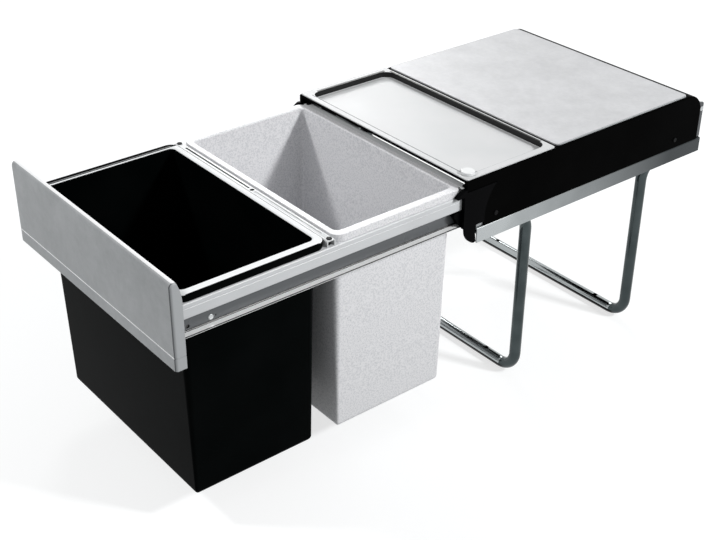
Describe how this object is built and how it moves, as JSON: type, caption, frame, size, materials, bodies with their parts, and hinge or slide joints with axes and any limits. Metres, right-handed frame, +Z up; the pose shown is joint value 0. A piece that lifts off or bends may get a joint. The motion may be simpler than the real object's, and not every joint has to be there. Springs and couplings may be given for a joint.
{
  "type": "pull out bin frame",
  "caption": "Pull-out waste bin frame: lift-out bins hang in a drawer behind a front panel and slide on rails under a fixed cover on bent tube legs.",
  "frame": {"origin": "centre of the four floor screw holes in the legs, at floor level, with the drawer pulled right out", "axes": "+X to the right seen from the front panel, +Y from the front panel to the rear, +Z up"},
  "size_m": [0.368, 0.8932, 0.366],
  "materials": {
    "leg_tube": "bright chrome plated bent steel tube",
    "angle_steel": "light grey coated pressed steel",
    "channel_steel": "light grey coated pressed steel",
    "buffer_rubber": "matt black rubber",
    "guide_plastic": "black injection moulded acetal",
    "roller_nylon": "natural white nylon",
    "rivet_steel": "plain zinc plated steel",
    "screw_steel": "bright zinc plated steel",
    "cover_plastic": "black moulded plastic, fine satin grain",
    "lid_sheet": "silver grey lacquered sheet, satin",
    "rail_steel": "white powder coated pressed steel",
    "crossbar_steel": "light grey powder coated pressed steel",
    "panel_plastic": "mid grey moulded plastic, satin",
    "front_bin_plastic": "black moulded plastic, glossy",
    "rear_bin_plastic": "light grey moulded plastic with fine dark granite speckle",
    "tray_plastic": "light grey moulded plastic, satin",
    "knob_plastic": "light grey moulded plastic, satin"
  },
  "bodies": {
    "frame": {"front_leg": "leg_tube", "rear_leg": "leg_tube", "support_angle_left": "angle_steel", "support_angle_right": "angle_steel", "cabinet_channel_left": "channel_steel", "cabinet_channel_right": "channel_steel", "back_plate": "channel_steel", "rear_buffers": "buffer_rubber", "front_guide_left": "guide_plastic", "front_guide_right": "guide_plastic", "roller_pins": "rivet_steel", "cover": "cover_plastic", "rear_lid": "lid_sheet", "cover_screws": "screw_steel", "back_rivets": "rivet_steel"},
    "drawer": {"drawer_rail_left": "rail_steel", "drawer_rail_right": "rail_steel", "rear_glide_left": "guide_plastic", "rear_glide_right": "guide_plastic", "front_panel": "panel_plastic", "front_bracket": "crossbar_steel", "middle_crossbar": "crossbar_steel", "rear_crossbar": "crossbar_steel", "panel_screws": "screw_steel", "crossbar_screws": "screw_steel", "rail_rivets": "rivet_steel"},
    "roller_left": {"front_roller_left": "roller_nylon"},
    "roller_right": {"front_roller_right": "roller_nylon"},
    "front_bin": {"front_bin": "front_bin_plastic"},
    "rear_bin": {"rear_bin": "rear_bin_plastic"},
    "tray": {"tray": "tray_plastic"},
    "knob": {"tray_knob": "knob_plastic"}
  },
  "joints": [
    {"name": "drawer_slide", "type": "slide", "parent": "frame", "child": "drawer", "axis": [0, -1, 0], "range_m": [-0.394, 0]},
    {"name": "roller_left_spin", "type": "hinge", "parent": "frame", "child": "roller_left", "pos_m": [-0.1633, -0.2195, 0.29335], "axis": [1, 0, 0], "range_deg": [-2090, 0]},
    {"name": "roller_right_spin", "type": "hinge", "parent": "frame", "child": "roller_right", "pos_m": [0.1633, -0.2195, 0.29335], "axis": [1, 0, 0], "range_deg": [-2090, 0]},
    {"name": "front_bin_lift", "type": "slide", "parent": "drawer", "child": "front_bin", "axis": [0, 0, 1], "range_m": [0, 0.35]},
    {"name": "rear_bin_lift", "type": "slide", "parent": "drawer", "child": "rear_bin", "axis": [0, 0, 1], "range_m": [0, 0.35]},
    {"name": "tray_lift", "type": "slide", "parent": "frame", "child": "tray", "axis": [0, 0, 1], "range_m": [0, 0.12]},
    {"name": "knob_turn", "type": "hinge", "parent": "tray", "child": "knob", "pos_m": [0.15744, -0.2215, 0.3471], "axis": [0, 0, 1], "range_deg": [0, 90]}
  ],
  "couplings": [
    {"joint": "roller_left_spin", "follows": "drawer_slide", "rad_per_m": 92.166},
    {"joint": "roller_right_spin", "follows": "drawer_slide", "rad_per_m": 92.166}
  ]
}
